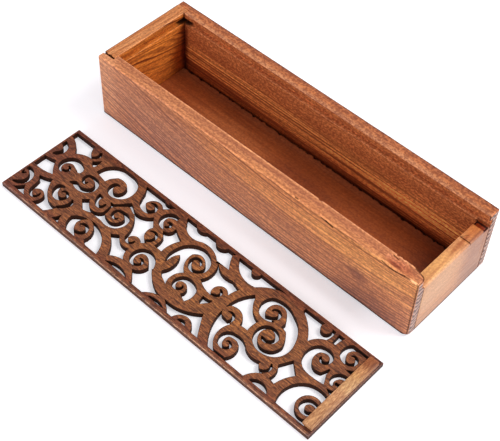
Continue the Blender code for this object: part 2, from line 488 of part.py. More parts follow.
def fretwork_triangles():
    """Triangles of the wood that the openings leave, and the points that they use."""
    panel = rectangle(-LID_LENGTH / 2, LID_LENGTH / 2, -LID_WIDTH / 2, LID_WIDTH / 2)
    low = to_lid(FIELD_X_SHARES[0], FIELD_Y_SHARES[0])
    high = to_lid(FIELD_X_SHARES[1], FIELD_Y_SHARES[1])
    field = rectangle(low.x, high.x, low.y, high.y)
    openings = [triangle for rows in SCROLL_CUT_SHARES for triangle in scroll_cut(rows)]
    openings += [patch_outline(list(corners)) for corners in PATCH_SHARES]
    outlines = [panel, field]
    outlines += [anticlockwise([to_lid(*point) for point in opening]) for opening in openings]
    points = []
    faces = []
    for outline in outlines:
        faces.append(list(range(len(points), len(points) + len(outline))))
        points.extend(outline)
    result = delaunay_2d_cdt(points, [], faces, 0, MERGE_DISTANCE)
    wooden = []
    for triangle, sources in zip(result[2], result[5]):
        inside = set(sources)
        if 0 in inside and (1 not in inside or len(inside) == 2):
            wooden.append(triangle)
    return result[0], wooden


def lid_fretwork_panel(parent, material):
    """The thin lid panel: the same triangles above and below, and a wall round every opening."""
    points, wooden = fretwork_triangles()
    bm = bmesh.new()
    used = sorted({index for triangle in wooden for index in triangle})
    corners = {index: bm.verts.new((points[index].x, points[index].y, 0)) for index in used}
    for triangle in wooden:
        bm.faces.new([corners[index] for index in triangle])
    raised = bmesh.ops.extrude_face_region(bm, geom=list(bm.faces), use_keep_orig=True)["geom"]
    bmesh.ops.translate(bm, vec=(0, 0, LID_THICKNESS),
                        verts=[item for item in raised if isinstance(item, bmesh.types.BMVert)])
    bmesh.ops.recalc_face_normals(bm, faces=bm.faces)
    return add_object("lid_fretwork_panel", bm, (0, 0, 0), parent, material)


def lid_pull_batten(parent, material):
    """The strip across the lid's near end, which runs between the lips of the box."""
    low = LID_THICKNESS + GLUE_GAP
    end = LID_LENGTH / 2 - BATTEN_INSET
    soft = [(1, 0, 1), (-1, 0, 1), (0, 1, 1), (0, -1, 1)]
    return block("lid_pull_batten", (end - BATTEN_WIDTH, -BATTEN_LENGTH / 2, low),
                 (end, BATTEN_LENGTH / 2, low + BATTEN_HEIGHT), parent, material, soft, BATTEN_EDGE_RADIUS)


def main():
    clear_scene()
    cherry = wood("cherry", CHERRY_SHARES)
    honey = wood("honey", HONEY_SHARES)
    floor = wood("floor_wood", FLOOR_SHARES)
    walnut = wood("walnut", WALNUT_SHARES)

    box = place_empty("box_place", (0, 0, 0))
    cut_lead_in(side_board("front_side_board", -1, box, cherry))
    side_board("back_side_board", 1, box, cherry)
    far_end_board(box, cherry)
    near_end_board(box, cherry)
    bottom_panel(box, floor)

    lid_y = -BOX_WIDTH / 2 - LID_REST_DISTANCE - LID_WIDTH / 2
    lid = place_empty("lid_place", (LID_REST_SHIFT, lid_y, 0))
    lid_fretwork_panel(lid, walnut)
    lid_pull_batten(lid, honey)


main()
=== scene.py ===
"""Dresses the wooden pencil box and its fretwork lid, on a white table under soft studio light.

Lengths are metres. Within the grain, and in the tables of spots, cuts and marks, they are
millimetres. The grain of every piece is a solid texture: growth rings round a pith line, cut by
whatever shape the board has.
"""

import math

import bmesh
import bpy
from mathutils import Matrix, Vector, noise


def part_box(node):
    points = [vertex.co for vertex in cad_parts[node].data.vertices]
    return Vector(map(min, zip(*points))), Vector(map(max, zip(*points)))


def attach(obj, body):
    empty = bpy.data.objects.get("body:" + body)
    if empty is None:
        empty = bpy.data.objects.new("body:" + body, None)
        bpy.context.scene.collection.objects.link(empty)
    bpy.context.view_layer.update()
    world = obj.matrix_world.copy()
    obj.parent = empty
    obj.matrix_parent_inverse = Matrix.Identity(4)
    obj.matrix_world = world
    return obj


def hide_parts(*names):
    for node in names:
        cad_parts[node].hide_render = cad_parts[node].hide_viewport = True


X, Y, Z = range(3)
MM = 1000.0

# Camera, solved from the box's corners in the photograph's frame of 500 by 441 pixels. Its angles
# are degrees, and its lens and sensor are millimetres
CAMERA_PLACE = (0.25161, -0.31365, 0.46035)
CAMERA_HEADING = 40.4887
CAMERA_TILT = 39.2975
CAMERA_ROLL = 3.1094
CAMERA_LENS = 80.66
CAMERA_SHIFT = (-0.0199, -0.0051)
SENSOR_WIDTH = 36.0
CLIP_START = 0.01

# Light
WORLD_STRENGTH = 0.50
BACKDROP_STRENGTH = 1.0
LIGHTS = (
    # name, place, side of the square, power, colour
    ("key", (0.55, 0.43, 1.02), 0.50, 8.8, (1.0, 0.97, 0.93)),
    ("side", (1.30, -0.25, 0.55), 0.70, 2.4, (1.0, 0.98, 0.96)),
    ("front", (-0.20, -1.30, 0.45), 0.80, 6.1, (1.0, 0.96, 0.92)),
)

# The table, and the glow that makes it white without lighting the object. Under the box the table
# is painted dark without glow, and under the lid it glows less, both as painted shade
TABLE_HALF = 3.0
TABLE_COLOUR = (0.79, 0.79, 0.81)
TABLE_ROUGHNESS = 0.7
TABLE_GLOW = 0.48
GLOW_COLOUR = (1.0, 0.985, 1.06, 1.0)
COVERED_FROM = 0.0036
COVERED_EDGE = 0.0014
LID_GLOW_SHARE = 0.76
LID_SHADE_EDGE = 0.0020

# The soft shade on the table between the box and the lid, with a brighter line along it
BETWEEN_SHADE = 0.30
BETWEEN_RISE = (-0.046, 0.064)
BETWEEN_FALL = (0.076, 0.096)
BETWEEN_EDGE = (-0.056, -0.051)
BRIGHT_LINE = -0.0450
BRIGHT_REACH = (0.001, 0.007)
BRIGHT_SHARE = 0.30

# Geometry of the dressed boards
EDGE_SOFTNESS = 0.00035
EDGE_SEGMENTS = 2
EDGE_PROFILE = 0.5
SOFT_EDGE_ANGLE = math.radians(40)
FLAT_ANGLE = math.radians(0.5)
STATION_SPACING = 0.0030
WAVE_HEIGHT = 0.00007
WAVE_PITCH = 90.0
WAVE_SEED = 1
MERGE = 0.000002
END_REACH = 0.0002

# How much of a face's normal lies along an axis that the face is square to, faces or leans to
FLAT_LIMIT = 0.995
FACING = 0.5
LEANING = 0.3

# The groove for the lid, whose faces are painted paler, as painted light against the shade under
# the lip
GROOVE_LOW = 0.0360
GROOVE_HIGH = 0.0400
GROOVE_REACH = 0.0030
WELL_HALF = 0.0250
FAR_WALL = -0.1020
BOX_END = 0.1100
BOX_HALF_WIDTH = 0.0325

# Noises in the wood: cells to a millimetre along, across and up the grain, detail and roughness
BEND = ((0.012, 0.05, 0.05), 2.0, 0.5)
STRAND = ((0.10, 1.75, 1.75), 3.0, 0.62)
STREAK = ((0.022, 0.50, 0.50), 3.0, 0.55)
CLOUD = ((0.025, 0.085, 0.085), 2.0, 0.5)
SPECK = ((1.3, 1.9, 1.9), 2.0, 0.6)
THREAD = ((0.007, 0.95, 0.95), 2.0, 0.5)
PIT = ((0.30, 2.2, 2.2), 1.0, 0.5)
FLECK = ((0.42, 1.9, 1.9), 2.0, 0.6)
END_BEND = ((0.0, 0.16, 0.16), 2.0, 0.5)
GRIT_DETAIL = 2.0
GRIT_ROUGHNESS = 0.6
NOISE_MIDDLE = 0.5
SEED_STEP = (137.3, 71.9, 31.7)

# The values of each noise between which its marks fade in
STREAK_FADE = (0.42, 0.66)
STRAND_FADE = (0.46, 0.74)
CLOUD_FADE = (0.44, 0.72)
SPECK_FADE = (0.50, 0.72)
GRIT_DARK = (0.49, 0.58)
GRIT_PALE = (0.47, 0.39)
THREAD_DARK = (0.52, 0.60)
THREAD_PALE = (0.48, 0.38)
PIT_FADE = (0.52, 0.62)
FLECK_FADE = (0.51, 0.61)
CLOUD_SHARE = 0.5
SPECK_SHARE = 0.5

# Growth rings: where in a ring its late wood comes and goes, and how the rings differ
LATE_RISE = (0.35, 0.80)
LATE_FALL = (1.0, 0.90)
CALM_LINES = 0.22
SWAY_REACH = 4
UNEVEN_PITCH = 0.21
UNEVEN_REACH = 3.2
UNEVEN_SEED = 3.1
SEASON_PITCH = 0.55
SEASON_DETAIL = 1.0
SEASON_SEED = 1.7
SEASON_FADE = (0.36, 0.62)
FAINTEST_SEASON = 0.35

# The stripes of growth rings on the boards' sawn ends
END_STRIPE_MIDDLE = 29.4
END_STRIPE_SLANT = 0.45
END_STRIPE_PITCH = 3.4
END_STRIPE_RISE = (0.1, 0.6)
END_STRIPE_FALL = (1.0, 0.75)
END_BEND_REACH = 5.0
END_SPECK_FADE = (0.45, 0.7)
END_SPECK_SHARE = 0.25

# Spots and cuts: the shares of their reach at which they begin and are full
SPOT_EDGE = (1.15, 0.45)
SPOT_WANDER = 0.9
CUT_EDGE = (1.25, 0.65)

# Tints of the paler marks
THREAD_GLINT = (1.80, 2.15, 2.05)
GRIT_GLINT = (1.40, 1.50, 1.50)
FLECK_GLINT = (1.85, 2.05, 1.75)

# Relief and gloss
RELIEF = 0.15
RELIEF_HEIGHT = 0.0003
STRAND_RELIEF = 0.6
LATE_RELIEF = 0.5
PIT_RELIEF = 0.5
ROUGHNESS_FADE = (0.3, 0.7)
ROUGHNESS_CHANGE = (-0.05, 0.08)

# Soot, and painted shade in gaps, cracks and on dark arrises
SOOT_AND_SHADE = (0.034, 0.013, 0.009)
SOOT_AND_SHADE_FULL = 0.8
SOOT_AND_SHADE_GLOSS = 0.02
DARK_ARRIS_SHARE = 0.55
OUTER_FACE_REACH = 0.0012

# The lid's outer edges and the scorched walls of its cuts
RIM_REACH = 0.00002
LID_EDGE_SOFTNESS = 0.0004
RIM_SOOT = 0.65
WALL_SOOT = 0.93
SCORCH_WIDTH = 0.00022
SCORCH_SOOT = 0.85

# How much the batten's arrises are paled, as wear and painted highlight
BATTEN_WEAR_AND_HIGHLIGHT = 0.6

# The step and crack across the near board's top
STEP_PLACE = 0.0103
STEP_REACH = 0.0012
STEP_DROP = 0.00035
CRACK_HALF = 0.00018
CRACK_SLOPE = 0.00010
CRACK_DEPTH = 0.0010
DIP_REACH = 0.0016

# The floor's ragged back edge
RAGGED_SPACING = 0.0011
RAGGED_REACH = 0.0004
RAGGED_PITCH = 340.0
RAGGED_DEPTH = 0.0019
RAGGED_FOOT = 0.0016
RAGGED_MIDDLE = 0.55
RAGGED_COARSE = 0.7
RAGGED_FINE = 0.5
RAGGED_FINER = 4
RAGGED_FINE_SEED = 5.0

# The open seam at the far board's front end
SEAM_HEIGHTS = (0.0410, 0.0418, 0.0425, 0.0430)
SEAM_SPACING = 0.0007
SEAM_REACH = 0.0005
SEAM_PITCH = 700.0
SEAM_WIDTH = 0.0013
SEAM_MIDDLE = 0.75
SEAM_COARSE = 0.6
SEAM_OPENING = 2

# The torn grain on the front board's top
KNOT_FROM = 0.0880
KNOT_TO = 0.1010
KNOT_SLICES = 22
KNOT_ROWS = (-0.0300, -0.0293, -0.0286, -0.0279, -0.0272, -0.0265, -0.0258)
KNOT_REACH = 0.0006
KNOT_FADE = 0.0008
KNOT_DEPTH = 0.0009
KNOT_CALM = -0.0262
KNOT_ARRIS = 0.25
KNOT_MIDDLE = 0.5
KNOT_COARSE = 0.9
KNOT_PITCH_ALONG = 420
KNOT_PITCH_ACROSS = 900
KNOT_SEED = 3.0

# Chips out of the same board's inner arris: start, end, depth
CHIPS = ((0.0424, 0.0446, 0.0005), (0.0912, 0.0930, 0.0006), (0.0946, 0.0966, 0.0003))
CHIP_SLOPE = 0.0003
CHIP_FROM = -0.0256

# The front board's foot, worn round at the near corner
FOOT_REACH = 0.0036
FOOT_RISE = 0.0026
FOOT_CURVE = 1.5
FOOT_SLICES = 5
FOOT_LOW = 0.0010

# Blocks whose faces are painted dark, as painted shade in the open seam, the crack, the notch and
# the gap by the floor: low corner, high corner, share
SEAM_SHADE_MARKS = (((-111.0, -28.6, 40.9), (-101.0, -26.4, 43.45), 0.85),)
NEAR_SHADE_MARKS = (
    ((101.0, 10.1, 34.0), (111.0, 10.5, 35.8), 0.85),
    ((101.0, 21.5, 34.0), (111.0, 25.3, 35.7), 0.12),
)
FLOOR_SHADE_MARKS = (((-105.0, 23.6, 1.5), (105.0, 26.0, 3.15), 0.95),)

# Colours of the woods: early wood, late wood and dark streak
SIDE_TONES = ((0.75, 0.278, 0.106), (0.49, 0.150, 0.062), (0.22, 0.052, 0.026))
INNER_TONES = ((0.64, 0.205, 0.066), (0.46, 0.128, 0.043), (0.26, 0.060, 0.021))
FAR_TONES = ((0.84, 0.255, 0.040), (0.53, 0.132, 0.020), (0.14, 0.024, 0.005))
NEAR_TONES = ((0.78, 0.345, 0.128), (0.60, 0.230, 0.085), (0.42, 0.130, 0.050))
FLOOR_TONES = ((0.415, 0.100, 0.0245), (0.285, 0.0635, 0.0172), (0.155, 0.031, 0.0105))
WALNUT_TONES = ((0.300, 0.098, 0.038), (0.175, 0.053, 0.022), (0.040, 0.011, 0.007))
BATTEN_TONES = ((0.72, 0.385, 0.190), (0.60, 0.285, 0.125), (0.38, 0.150, 0.066))
END_TONES = ((0.62, 0.375, 0.295), (0.125, 0.054, 0.045))
# Tints of rubbed arrises, which also stand as painted highlights, and of the groove, painted paler
# as painted light
WEAR_AND_LIGHT_TINT = (1.25, 1.3, 1.4)
WALNUT_WEAR_AND_LIGHT_TINT = (1.9, 2.3, 2.8)

# Each spot is a centre, its reach along each axis and a tint. Each cut is two ends, half a width
# and a darkness. Where the grain runs along y, the first number is y and the second is -x
FRONT_SPOTS = (
    # The outer face: its far end, its parts from there to the near end, whose upper ones are
    # painted lighter as painted light, and its foot, painted darker as painted shade
    ((-112.0, -32.0, 20.0), (18.0, 9.0, 60.0), (1.18, 1.35, 1.55)),
    ((-60.0, -33.0, 24.0), (40.0, 5.0, 20.0), (0.88, 0.90, 1.10)),
    ((84.0, -33.0, 4.0), (26.0, 5.0, 12.0), (0.66, 0.58, 0.62)),
    ((76.0, -33.0, 20.0), (9.0, 4.0, 4.0), (0.62, 0.55, 0.62)),
    ((40.0, -33.0, 35.0), (75.0, 5.0, 14.0), (1.21, 1.27, 1.12)),
    ((82.0, -33.0, 35.0), (45.0, 5.0, 13.0), (1.18, 1.32, 1.22)),
    ((0.0, -33.0, -4.0), (240.0, 5.0, 12.0), (0.84, 0.80, 0.86)),
    # The top: the stain round the knot, the whole length, and a painted highlight along the inner
    # arris
    ((97.0, -29.5, 44.0), (10.5, 3.6, 2.6), (0.80, 0.62, 0.60)),
    ((0.0, -28.5, 44.0), (400.0, 4.0, 1.6), (0.88, 0.87, 0.92)),
    ((0.0, -25.0, 43.6), (400.0, 0.8, 0.8), (1.45, 1.72, 1.95)),
    # Low on the far half of the face, the knot itself, and the bright near corner
    ((-72.0, -33.0, 6.0), (60.0, 5.0, 10.0), (0.92, 0.84, 0.80)),
    ((94.0, -30.6, 43.8), (5.0, 1.3, 1.6), (0.62, 0.44, 0.42)),
    ((107.2, -32.5, 43.3), (3.4, 0.9, 0.9), (1.35, 1.65, 2.00)),
)
FRONT_CUTS = (
    # The split that runs under the knot, just below the outer arris
    ((88.2, -32.4, 42.7), (92.9, -32.4, 41.7), 0.40, 0.80),
    ((92.9, -32.4, 41.7), (96.8, -32.4, 41.9), 0.45, 0.85),
    ((96.8, -32.4, 41.9), (101.6, -32.4, 43.1), 0.40, 0.80),
    ((101.6, -32.4, 43.1), (104.9, -32.4, 43.4), 0.30, 0.60),
    # Nicks and scratches further along it
    ((50.5, -32.4, 42.4), (54.3, -32.4, 42.1), 0.40, 0.80),
    ((53.5, -32.4, 42.2), (57.6, -32.4, 41.4), 0.65, 0.90),
    ((33.4, -32.4, 43.4), (35.1, -32.4, 43.4), 0.45, 0.80),
    ((61.5, -32.4, 42.0), (68.0, -32.4, 41.2), 0.30, 0.60),
    ((69.5, -32.4, 41.1), (76.0, -32.4, 40.6), 0.30, 0.60),
    # A nick in the torn grain, and the grimy line round the top's near end
    ((90.6, -26.5, 43.4), (93.6, -26.9, 43.4), 0.35, 0.80),
    ((103.0, -25.6, 43.4), (107.2, -26.5, 43.4), 0.42, 0.70),
    ((107.2, -26.5, 43.4), (109.2, -27.4, 43.4), 0.42, 0.75),
    ((109.2, -27.4, 43.4), (110.0, -29.2, 43.4), 0.42, 0.75),
    ((110.0, -29.2, 43.4), (110.0, -32.5, 43.2), 0.42, 0.70),
    # A painted contact shadow along the foot, and the two upright arrises
    ((-110.0, -32.5, 0.1), (110.0, -32.5, 0.1), 1.60, 0.90),
    ((-110.0, -32.5, 0.0), (-110.0, -32.5, 43.5), 0.35, 0.45),
    ((110.0, -32.5, 0.0), (110.0, -32.5, 43.0), 0.45, 0.65),
)
BACK_SPOTS = (
    # The top: its outer half, and a painted highlight along its inner edge
    ((0.0, 34.0, 44.0), (400.0, 6.0, 5.0), (0.72, 0.68, 0.80)),
    ((0.0, 25.5, 44.0), (400.0, 3.0, 1.5), (0.96, 1.18, 1.60)),
    # The inner face: a pale band at half height, its foot by the floor darkened as painted shade,
    # and the bright near half
    ((0.0, 24.0, 16.0), (400.0, 3.0, 9.0), (1.42, 1.80, 1.75)),
    ((0.0, 24.0, -1.0), (400.0, 3.0, 6.5), (0.46, 0.26, 0.18)),
    ((82.0, 24.0, 17.0), (44.0, 4.0, 12.0), (1.32, 1.40, 1.44)),
    # The top's near end, and painted shade in the far corner of the well
    ((104.0, 28.0, 44.0), (40.0, 6.0, 3.0), (0.88, 0.85, 0.80)),
    ((-103.0, 25.0, 16.0), (4.5, 4.0, 30.0), (0.32, 0.18, 0.16)),
)
BACK_CUTS = (
    # Painted shade blacking the hole at the far end of the groove, the outer arris and the joint
    # with the near board
    ((-104.0, 27.0, 38.0), (-99.4, 27.3, 37.8), 2.7, 0.97),
    ((-110.0, 32.5, 43.5), (110.0, 32.5, 43.5), 0.90, 0.72),
    ((110.0, 25.0, 43.5), (110.0, 25.0, 36.0), 0.45, 0.60),
    ((103.0, 25.0, 35.2), (110.0, 25.0, 35.2), 0.70, 0.70),
)
FAR_SPOTS = (
    # The paler, pinker top, the middle of the inner face, and painted shade in its back corner
    ((0.0, 106.0, 45.5), (400.0, 12.0, 3.2), (1.00, 1.36, 3.30)),
    ((4.0, 102.0, 24.0), (18.0, 3.0, 12.0), (1.10, 1.13, 1.12)),
    ((24.0, 103.0, 10.0), (11.0, 4.0, 26.0), (0.52, 0.30, 0.23)),
    ((25.5, 102.0, 16.0), (4.0, 4.0, 30.0), (0.32, 0.18, 0.16)),
)
FAR_CUTS = (
    # Painted shade blacking the hole at the back end of the groove, the joint above it and the
    # outer arris
    ((27.0, 104.0, 38.0), (23.4, 104.3, 38.2), 2.7, 0.97),
    ((25.0, 102.0, 40.5), (25.0, 102.0, 43.2), 0.45, 0.90),
    ((-28.0, 110.0, 43.5), (32.0, 110.0, 43.5), 0.80, 0.70),
)
NEAR_SPOTS = (
    # The top: its back part, its front part and the worn place beside the step
    ((24.0, -107.0, 36.0), (16.0, 6.0, 3.0), (0.84, 0.62, 0.42)),
    ((-14.0, -106.0, 36.5), (16.0, 5.0, 1.5), (1.12, 1.22, 1.10)),
    ((6.0, -106.5, 36.0), (9.0, 1.6, 2.0), (0.74, 0.60, 0.52)),
    # The outer face: its back part, its front part and the whole of it
    ((25.0, -110.0, 20.0), (22.0, 3.0, 60.0), (0.65, 0.61, 0.72)),
    ((-14.0, -110.0, 26.0), (24.0, 2.0, 16.0), (1.04, 1.18, 1.32)),
    ((0.0, -111.5, 16.0), (80.0, 3.0, 60.0), (0.90, 0.95, 1.10)),
    # The top before the step, a dark line low on the face, and the foot darkened as painted shade
    ((9.0, -106.0, 36.5), (5.0, 4.0, 1.5), (0.86, 0.78, 0.76)),
    ((0.0, -111.0, 7.5), (60.0, 2.0, 0.8), (0.70, 0.62, 0.58)),
    ((0.0, -111.0, 3.0), (60.0, 2.0, 5.0), (0.86, 0.84, 0.84)),
    # Painted shade in the notch at the back end, and a painted highlight on the arris of the step
    ((23.4, -106.0, 34.4), (3.4, 8.0, 1.3), (0.62, 0.25, 0.15)),
    ((9.2, -106.0, 36.2), (1.6, 8.0, 0.8), (1.25, 1.40, 1.50)),
)
NEAR_CUTS = (
    # The crack, a scratch beside it, the edges of the notch darkened as painted shade, and a
    # painted contact shadow along the foot
    ((10.4, -102.9, 35.8), (10.4, -109.9, 35.8), 0.45, 0.92),
    ((11.2, -104.0, 35.9), (14.0, -106.0, 35.9), 0.40, 0.45),
    ((21.8, -102.9, 35.6), (21.8, -107.0, 35.4), 0.45, 0.75),
    ((21.9, -109.9, 34.8), (25.0, -109.9, 34.8), 0.60, 0.90),
    ((22.0, -103.4, 34.8), (25.0, -103.4, 34.8), 0.75, 0.95),
    ((24.9, -103.4, 34.8), (24.9, -109.9, 34.8), 0.70, 0.95),
    ((-32.0, -110.0, 0.1), (32.0, -110.0, 0.1), 1.80, 0.90),
)
FLOOR_SPOTS = (
    # The back edge, painted shade at the near end, a pale patch in the far half and a dark one
    # beside it
    ((0.0, 27.0, 3.0), (400.0, 10.0, 4.0), (0.96, 1.12, 1.55)),
    ((110.0, 10.0, 3.0), (38.0, 40.0, 4.0), (0.54, 0.48, 0.58)),
    ((-45.0, -2.0, 3.0), (38.0, 18.0, 5.0), (1.22, 1.45, 1.70)),
    ((6.0, -2.0, 3.0), (30.0, 18.0, 5.0), (0.72, 0.66, 0.70)),
)
WALNUT_SPOTS = (
    # The far end, the back rim, darker as wood and as painted shade beside the box, the front rim
    # and a painted highlight along its outer edge
    ((-108.0, -80.0, 3.0), (26.0, 50.0, 9.0), (0.80, 0.68, 0.80)),
    ((0.0, -53.6, 3.0), (400.0, 5.0, 9.0), (0.70, 0.59, 0.67)),
    ((0.0, -107.4, 3.0), (400.0, 5.0, 9.0), (0.82, 0.71, 0.82)),
    ((0.0, -107.9, 2.6), (400.0, 1.4, 4.0), (1.25, 1.75, 2.05)),
    # The dark near edge and the warm middle
    ((111.6, -80.0, 2.0), (2.2, 60.0, 6.0), (0.55, 0.60, 0.85)),
    ((20.0, -81.0, 3.0), (80.0, 17.0, 9.0), (1.14, 1.20, 1.02)),
)
BATTEN_SPOTS = (
    # From the dark back end to the front end, and the outer side
    ((-56.0, -107.0, 6.0), (9.0, 8.0, 6.0), (0.52, 0.34, 0.26)),
    ((-66.0, -107.0, 6.0), (8.0, 8.0, 6.0), (0.92, 0.84, 0.72)),
    ((-74.0, -107.0, 6.0), (8.0, 8.0, 6.0), (1.04, 1.16, 1.12)),
    ((-99.0, -107.0, 6.0), (13.0, 8.0, 6.0), (0.88, 0.86, 0.80)),
    ((-80.0, -111.0, 4.6), (60.0, 1.6, 6.0), (0.80, 0.78, 0.76)),
)


class Nodes:
    """A short way to write a material's nodes. A value is a number, a tuple or a socket."""

    def __init__(self, tree):
        self.tree = tree

    def add(self, kind, **settings):
        node = self.tree.nodes.new(kind)
        for name, value in settings.items():
            setattr(node, name, value)
        return node

    def feed(self, socket, value):
        if isinstance(value, bpy.types.NodeSocket):
            self.tree.links.new(value, socket)
        else:
            socket.default_value = value

    def feed_all(self, node, values):
        for socket, value in zip(node.inputs, values):
            self.feed(socket, value)

    def math(self, operation, *values):
        node = self.add("ShaderNodeMath", operation=operation)
        self.feed_all(node, values)
        return node.outputs[0]

    def vector(self, operation, *values):
        node = self.add("ShaderNodeVectorMath", operation=operation)
        self.feed_all(node, values)
        return node.outputs["Value" if operation in ("LENGTH", "DOT_PRODUCT") else "Vector"]

    def combine(self, *values):
        node = self.add("ShaderNodeCombineXYZ")
        self.feed_all(node, values)
        return node.outputs[0]

    def split(self, vector):
        node = self.add("ShaderNodeSeparateXYZ")
        self.feed(node.inputs[0], vector)
        return tuple(node.outputs)

    def attribute(self, name):
        """A share between 0 and 1 that the mesh holds for each corner of its faces."""
        return self.add("ShaderNodeAttribute", attribute_name=name).outputs["Fac"]

    def noise(self, vector, detail=2.0, roughness=0.5, colour=False):
        """Noise whose cells are one unit long."""
        node = self.add("ShaderNodeTexNoise")
        self.feed(node.inputs["Vector"], vector)
        node.inputs["Scale"].default_value = 1.0
        node.inputs["Detail"].default_value = detail
        node.inputs["Roughness"].default_value = roughness
        return node.outputs["Color" if colour else "Fac"]

    def texture(self, place, pitch, detail, roughness, colour=False):
        """One of the wood's noises, drawn out along the grain."""
        return self.noise(self.vector("MULTIPLY", place, pitch), detail, roughness, colour)

    def fit(self, value, low, high, new_low=0.0, new_high=1.0, smooth=True):
        kind = "SMOOTHSTEP" if smooth else "LINEAR"
        node = self.add("ShaderNodeMapRange", interpolation_type=kind)
        self.feed_all(node, (value, low, high, new_low, new_high))
        return node.outputs[0]

    def mix(self, share, first, second, blend="MIX"):
        node = self.add("ShaderNodeMix", data_type="RGBA", blend_type=blend)
        self.feed(node.inputs["Factor"], share)
        for name, value in (("A", first), ("B", second)):
            socket = [s for s in node.inputs if s.name == name and s.type == "RGBA"][0]
            self.feed(socket, (*value, 1) if isinstance(value, tuple) else value)
        return [s for s in node.outputs if s.type == "RGBA"][0]

    def tint(self, colour, factor):
        return self.mix(1.0, colour, factor, "MULTIPLY")

    def layer(self, colour, value, fade, strength, over):
        """Lays one colour over another, as a value goes from one end of its fade to the other."""
        return self.mix(self.math("MULTIPLY", self.fit(value, *fade), strength), colour, over)


def new_material(name):
    material = bpy.data.materials.new(name)
    material.use_nodes = True
    nodes = Nodes(material.node_tree)
    return material, nodes, material.node_tree.nodes["Principled BSDF"]


def grain_place(nodes, along, seed):
    """Object coordinates in millimetres, turned so that the grain runs along x.

    They come once as they are and once shifted by the seed, for the noises.
    """
    place = nodes.add("ShaderNodeTexCoord").outputs["Object"]
    place = nodes.vector("MULTIPLY", place, (MM, MM, MM))
    if along == "y":
        x, y, z = nodes.split(place)
        place = nodes.combine(y, nodes.math("MULTIPLY", x, -1.0), z)
    return place, nodes.vector("ADD", place, tuple(seed * step for step in SEED_STEP))


def late_wood(nodes, place, shifted, seed, pith, ring, drift, bow, sway):
    """How deep each point lies in the dark late wood of its growth ring."""
    x, y, z = nodes.split(place)
    bend = nodes.texture(shifted, *BEND, colour=True)
    bend = nodes.vector("SUBTRACT", bend, (NOISE_MIDDLE, NOISE_MIDDLE, NOISE_MIDDLE))
    bend = nodes.vector("MULTIPLY", bend, (0.0, sway * SWAY_REACH, sway * SWAY_REACH))
    _, bend_y, bend_z = nodes.split(bend)
    across = nodes.math("ADD", nodes.math("MULTIPLY_ADD", x, drift[0], y), bend_y)
    up = nodes.math("ADD", nodes.math("MULTIPLY_ADD", x, drift[1], z), bend_z)
    up = nodes.math("MULTIPLY_ADD", nodes.math("MULTIPLY", x, x), bow, up)
    radius = nodes.vector("LENGTH", nodes.combine(nodes.math("SUBTRACT", across, pith[0]),
                                                  nodes.math("SUBTRACT", up, pith[1]), 0.0))
    uneven = nodes.noise(nodes.combine(nodes.math("MULTIPLY", radius, UNEVEN_PITCH),
                                       seed * UNEVEN_SEED, 0.0))
    radius = nodes.math("MULTIPLY_ADD", uneven, ring * UNEVEN_REACH, radius)
    phase = nodes.math("FRACT", nodes.math("DIVIDE", radius, ring))
    late = nodes.math("MULTIPLY", nodes.fit(phase, *LATE_RISE), nodes.fit(phase, *LATE_FALL))
    season = nodes.noise(nodes.combine(nodes.math("MULTIPLY", radius, SEASON_PITCH),
                                       seed * SEASON_SEED, 0.0), SEASON_DETAIL)
    late = nodes.math("MULTIPLY", late, nodes.fit(season, *SEASON_FADE, FAINTEST_SEASON, 1.0))
    calm = nodes.fit(nodes.attribute("calm"), 0.0, 1.0, 1.0, CALM_LINES)
    return nodes.math("MULTIPLY", late, calm)


def lay_spots(nodes, colour, place, streak, spots):
    """Tints soft places whose edges wander with the streaks of the grain."""
    for centre, reach, tint in spots:
        off = nodes.vector("SUBTRACT", place, centre)
        off = nodes.vector("LENGTH", nodes.vector("DIVIDE", off, reach))
        wander = nodes.math("SUBTRACT", streak, NOISE_MIDDLE)
        off = nodes.math("MULTIPLY_ADD", wander, SPOT_WANDER, off)
        colour = nodes.mix(nodes.fit(off, *SPOT_EDGE), colour, nodes.tint(colour, tint))
    return colour


def sawn_end(nodes, place, shifted, speck, tones):
    """The colour of a board's sawn end, whose stripes slant away from the middle of a wall."""
    _, y, z = nodes.split(place)
    bend = nodes.texture(shifted, *END_BEND)
    slant = nodes.math("SUBTRACT", nodes.math("ABSOLUTE", y), END_STRIPE_MIDDLE)
    slant = nodes.math("MULTIPLY_ADD", nodes.math("ABSOLUTE", slant), -END_STRIPE_SLANT, z)
    slant = nodes.math("MULTIPLY_ADD", bend, END_BEND_REACH, slant)
    slant = nodes.math("FRACT", nodes.math("DIVIDE", slant, END_STRIPE_PITCH))
    stripe = nodes.math("MULTIPLY", nodes.fit(slant, *END_STRIPE_RISE),
                        nodes.fit(slant, *END_STRIPE_FALL))
    ends = nodes.mix(stripe, *tones)
    return nodes.mix(nodes.fit(speck, *END_SPECK_FADE, 0.0, END_SPECK_SHARE), ends, tones[1])


def cut_share(nodes, place, speck, first, last, half):
    """How deep each point lies in a cut from one place to another, with rough edges."""
    run = Vector(last) - Vector(first)
    off = nodes.vector("SUBTRACT", place, first)
    along = nodes.vector("DOT_PRODUCT", off, tuple(run / run.length_squared))
    along = nodes.math("MAXIMUM", nodes.math("MINIMUM", along, 1.0), 0.0)
    nearest = nodes.vector("MULTIPLY", nodes.combine(along, along, along), tuple(run))
    off = nodes.vector("LENGTH", nodes.vector("SUBTRACT", off, nearest))
    off = nodes.math("MULTIPLY_ADD", nodes.math("SUBTRACT", speck, NOISE_MIDDLE), half, off)
    return nodes.fit(off, *[half * edge for edge in CUT_EDGE])


